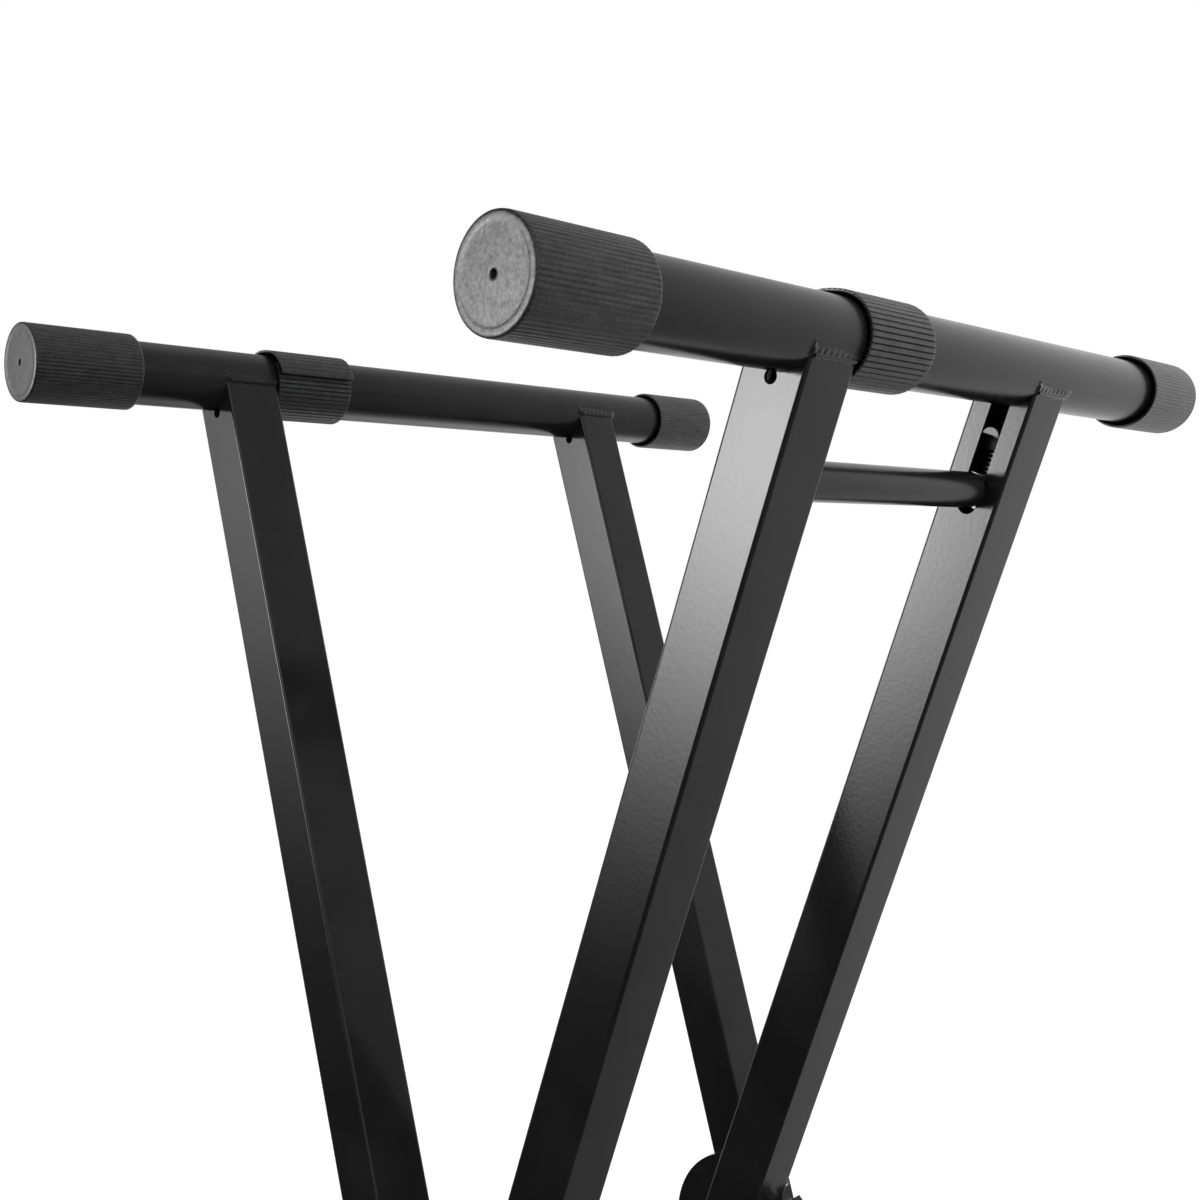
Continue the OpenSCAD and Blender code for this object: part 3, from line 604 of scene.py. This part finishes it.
def headTab(shape):
    # the half-moon, eased at its front, and the foot that joins it to the body
    radius, low, count = shape["tabR"], shape["tabLowMm"], shape["tabSteps"] + 1
    front, back, eased = shape["tabFrontMm"], shape["tabBackMm"], shape["tabEaseMm"]
    points = []
    for y, ease in ((-front, eased), (eased - front, 0.0), (-back, 0.0)):
        for k in range(count):
            turn = math.pi * k / shape["tabSteps"]
            points.append(((radius - ease) * math.cos(turn), y,
                           low + ease + (radius - 2 * ease) * math.sin(turn) * shape["tabSquash"]))
    faces = joinRings(count, 3, False) + endFaces(count, 3)
    base, foot, sunk = len(points), shape["footMm"], shape["footSunkMm"]
    for z in (shape["highMm"] - sunk, low + sunk):
        points += [(-foot, -back - sunk, z), (foot, -back - sunk, z), (foot, -back, z), (-foot, -back, z)]
    faces += [tuple(base + k for k in face) for face in joinRings(4, 2, False) + endFaces(4, 2)]
    return points, faces


def nutDome(shape, legY):
    steps, line = shape["steps"], shape["lineMm"]
    points = []
    for radius, height in line:
        for k in range(steps):
            turn = 2 * math.pi * k / steps
            points.append((radius * math.cos(turn), legY + radius * math.sin(turn), height))
    return points, joinRings(steps, len(line), False) + endFaces(steps, len(line))


for end, side in (("near", -1), ("far", 1)):
    bodyPoints, bodyFaces = headBody(headBlock)
    tabPoints, tabFaces = headTab(headBlock)
    # the tab looks to the middle of the stand
    points = [(x, side * (stand["innerLegMm"] + y), z) for x, y, z in bodyPoints + tabPoints]
    faces = bodyFaces + [tuple(len(bodyPoints) + k for k in face) for face in tabFaces]
    piece = meshPiece("headBlockTabbed_" + end, leaningFrame("a"), points, faces,
                      slotOf["head_block_" + end], 40)
    piece.data.materials.append(finishes["black_powder_coat"])
    for face in piece.data.polygons[len(bodyFaces):]:
        face.material_index = 1
    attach(piece, "release")
    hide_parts("head_block_" + end)
    points, faces = nutDome(domeNut, side * stand["innerLegMm"])
    dome = meshPiece("rodDomeNut_" + end, leaningFrame("a"), points, faces, slotOf["rod_nuts"], 40)
    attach(dome, "release")
print("head blocks set")

# Camera, from the photograph's lines
photoView = {"place": (0.468501, -0.507061, 0.921263), "headingDeg": -45.115, "pitchDeg": -3.312,
             "rollDeg": 0.753, "focalPixels": 1329.774, "centrePixels": (575.776, 600.003),
             "imagePixels": 1200, "sensorMm": 36.0, "nearestM": 0.02, "farthestM": 60.0}


def placeCamera(view):
    heading, pitch, roll = (math.radians(view[key]) for key in ("headingDeg", "pitchDeg", "rollDeg"))
    ahead = Vector((math.sin(heading) * math.cos(pitch), math.cos(heading) * math.cos(pitch),
                    math.sin(pitch)))
    level = Vector((math.cos(heading), -math.sin(heading), 0.0))
    above = level.cross(ahead)
    right = level * math.cos(roll) + above * math.sin(roll)
    top = above * math.cos(roll) - level * math.sin(roll)
    data = bpy.data.cameras.new("photoCamera")
    data.sensor_width = view["sensorMm"]
    data.lens = view["focalPixels"] / view["imagePixels"] * view["sensorMm"]
    middle = view["imagePixels"] / 2
    data.shift_x = (middle - view["centrePixels"][0]) / view["imagePixels"]
    data.shift_y = (view["centrePixels"][1] - middle) / view["imagePixels"]
    data.clip_start = view["nearestM"]
    data.clip_end = view["farthestM"]
    camera = bpy.data.objects.new("photoCamera", data)
    bpy.context.scene.collection.objects.link(camera)
    turn = Matrix((right, top, -ahead)).transposed().to_4x4()
    camera.matrix_world = Matrix.Translation(view["place"]) @ turn
    bpy.context.scene.camera = camera


placeCamera(photoView)
print("camera placed")

# Studio: white paper underneath, one large soft lamp far off at the front left, a lit backdrop behind
studio = {"floorMm": 9000.0, "floorColor": "f4f4f3", "floorLift": 0.1,
          "lampHeadingDeg": -130.9, "lampAwayMm": 3640.0, "lampAsideMm": 1000.0, "lampHighMm": 1150.0,
          "lampWideMm": 3900.0, "lampTallMm": 3600.0, "lampGlow": 11.3,
          "lampCoreMm": 629.0, "lampFall": 1.14, "lampTallSpreadMm": 825.0,
          "ambient": 0.38, "roomGlow": 0.14,
          # soft light from the right, that only matt surfaces show: strength, heading, height and how
          # tight
          "sideLight": (3.2, 72.0, 25.0, 3.5),
          # soft round glows that a glossy coat sees: strength, heading, height and how tight
          "glows": {"backdrop": (1.4, -2.0, 4.0, 5.5), "litFloor": (1.3, -31.0, -43.0, 30.0),
                    "sideFill": (0.38, 106.0, 14.0, 6.0), "paperBehind": (0.7, -45.0, -2.0, 14.0),
                    "overhead": (0.4, -60.0, 68.0, 8.0), "leftWall": (0.9, -84.0, 0.0, 24.0),
                    "behindCamera": (1.6, 150.0, 24.0, 40.0)},
          # where the room is darkest: heading, height and how tight
          "dark": (-180.0, -60.0, 0.5)}


def bearing(headingDeg, highDeg):
    heading, high = math.radians(headingDeg), math.radians(highDeg)
    return Vector((math.sin(heading) * math.cos(high), math.cos(heading) * math.cos(high),
                   math.sin(high)))


def softLamp(setting):
    # a fabric softbox: brightest in its middle, fading out to all sides
    away = bearing(setting["lampHeadingDeg"], 0.0)
    aside = Vector((-away.y, away.x, 0.0))
    width, height = setting["lampWideMm"] * mm, setting["lampTallMm"] * mm
    data = bpy.data.lights.new("frontLeftSoftbox", "AREA")
    data.shape = "RECTANGLE"
    data.size, data.size_y = width, height
    data.energy = setting["lampGlow"] * math.pi * width * height
    data.use_nodes = True
    tree = data.node_tree
    tree.nodes.clear()
    surface = addNode(tree, "ShaderNodeNewGeometry")
    spot = addNode(tree, "ShaderNodeSeparateXYZ", {"Vector": surface.outputs["Parametric"]})
    # both places are measured from the middle of the lamp, in widths of its core and of its spread
    cores = setting["lampWideMm"] / setting["lampCoreMm"]
    across = addNode(tree, "ShaderNodeMath", {0: spot.outputs["X"], 1: cores, 2: -cores / 2},
                     operation="MULTIPLY_ADD").outputs["Value"]
    wide = addNode(tree, "ShaderNodeMath", {0: across, 1: across, 2: 1.0}, operation="MULTIPLY_ADD")
    core = addNode(tree, "ShaderNodeMath", {0: wide.outputs["Value"], 1: -setting["lampFall"]},
                   operation="POWER")
    spreads = setting["lampTallMm"] / setting["lampTallSpreadMm"]
    upward = addNode(tree, "ShaderNodeMath", {0: spot.outputs["Y"], 1: spreads, 2: -spreads / 2},
                     operation="MULTIPLY_ADD").outputs["Value"]
    tall = addNode(tree, "ShaderNodeMath", {0: upward, 1: upward}, operation="MULTIPLY")
    band = addNode(tree, "ShaderNodeMath", {0: math.exp(-1), 1: tall.outputs["Value"]},
                   operation="POWER")
    strength = addNode(tree, "ShaderNodeMath", {0: core.outputs["Value"], 1: band.outputs["Value"]},
                       operation="MULTIPLY")
    glow = addNode(tree, "ShaderNodeEmission", {"Strength": strength.outputs["Value"]})
    addNode(tree, "ShaderNodeOutputLight", {"Surface": glow.outputs["Emission"]})
    lamp = bpy.data.objects.new("frontLeftSoftbox", data)
    lamp.location = (away * setting["lampAwayMm"] + aside * setting["lampAsideMm"]) * mm
    lamp.location.z = setting["lampHighMm"] * mm
    lamp.rotation_euler = (-away).to_track_quat("-Z", "Y").to_euler()
    lamp.visible_camera = False
    bpy.context.scene.collection.objects.link(lamp)


def paperFloor(setting):
    # seen and lit as white paper; a glossy coat shows the room's glow through it, without its edges
    half = setting["floorMm"] / 2 * mm
    mesh = bpy.data.meshes.new("paperFloor")
    corners = [(-half, -half, 0), (half, -half, 0), (half, half, 0), (-half, half, 0)]
    mesh.from_pydata(corners, [], [(0, 1, 2, 3)])
    floor = bpy.data.objects.new("paperFloor", mesh)
    bpy.context.scene.collection.objects.link(floor)
    material, tree = newMaterial("whitePaper")
    path = addNode(tree, "ShaderNodeLightPath")
    paper = addNode(tree, "ShaderNodeBsdfDiffuse", {"Color": linearColor(setting["floorColor"])})
    lift = addNode(tree, "ShaderNodeMath", {0: path.outputs["Is Camera Ray"], 1: setting["floorLift"]},
                   operation="MULTIPLY")
    glow = addNode(tree, "ShaderNodeEmission", {"Strength": lift.outputs["Value"]})
    both = addNode(tree, "ShaderNodeAddShader", {0: paper.outputs["BSDF"], 1: glow.outputs["Emission"]})
    clear = addNode(tree, "ShaderNodeBsdfTransparent")
    shown = addNode(tree, "ShaderNodeMixShader",
                    {"Fac": path.outputs["Is Glossy Ray"], 1: both.outputs["Shader"],
                     2: clear.outputs["BSDF"]})
    addNode(tree, "ShaderNodeOutputMaterial", {"Surface": shown.outputs["Shader"]})
    mesh.materials.append(material)


def glowToward(tree, toward, headingDeg, highDeg, tight):
    # a soft round glow in one direction, 1 at its middle
    facing = addNode(tree, "ShaderNodeVectorMath", {0: toward, 1: bearing(headingDeg, highDeg)},
                     operation="DOT_PRODUCT")
    fall = addNode(tree, "ShaderNodeMath", {0: facing.outputs["Value"], 1: tight, 2: -tight},
                   operation="MULTIPLY_ADD")
    return addNode(tree, "ShaderNodeMath", {0: fall.outputs["Value"]}, operation="EXPONENT").outputs["Value"]


def whiteRoom(setting):
    # plain white to the camera; a grey room with soft glows to a glossy coat; even light and a soft
    # light from the side otherwise
    world = bpy.data.worlds.new("whiteStudio")
    bpy.context.scene.world = world
    world.use_nodes = True
    tree = world.node_tree
    tree.nodes.clear()
    path = addNode(tree, "ShaderNodeLightPath")
    toward = addNode(tree, "ShaderNodeTexCoord").outputs["Generated"]
    room = addNode(tree, "ShaderNodeMath",
                   {0: glowToward(tree, toward, *setting["dark"]), 1: -setting["roomGlow"],
                    2: setting["roomGlow"]}, operation="MULTIPLY_ADD")
    for strength, headingDeg, highDeg, tight in setting["glows"].values():
        room = addNode(tree, "ShaderNodeMath",
                       {0: glowToward(tree, toward, headingDeg, highDeg, tight), 1: strength,
                        2: room.outputs["Value"]}, operation="MULTIPLY_ADD")
    sideStrength, headingDeg, highDeg, tight = setting["sideLight"]
    even = addNode(tree, "ShaderNodeMath",
                   {0: glowToward(tree, toward, headingDeg, highDeg, tight), 1: sideStrength,
                    2: setting["ambient"]}, operation="MULTIPLY_ADD")
    unseen = addNode(tree, "ShaderNodeMix",
                     {"Factor": path.outputs["Is Glossy Ray"], "A": even.outputs["Value"],
                      "B": room.outputs["Value"]}, data_type="FLOAT")
    seen = addNode(tree, "ShaderNodeMath",
                   {0: path.outputs["Is Camera Ray"], 1: path.outputs["Is Transmission Ray"]},
                   operation="MAXIMUM")
    shown = addNode(tree, "ShaderNodeMix",
                    {"Factor": seen.outputs["Value"], "A": unseen.outputs["Result"], "B": 1.0},
                    data_type="FLOAT")
    background = addNode(tree, "ShaderNodeBackground",
                         {"Color": (1, 1, 1, 1), "Strength": shown.outputs["Result"]})
    addNode(tree, "ShaderNodeOutputWorld", {"Surface": background.outputs["Background"]})


paperFloor(studio)
softLamp(studio)
whiteRoom(studio)
bpy.context.scene.view_settings.view_transform = "Standard"
print("studio lit")
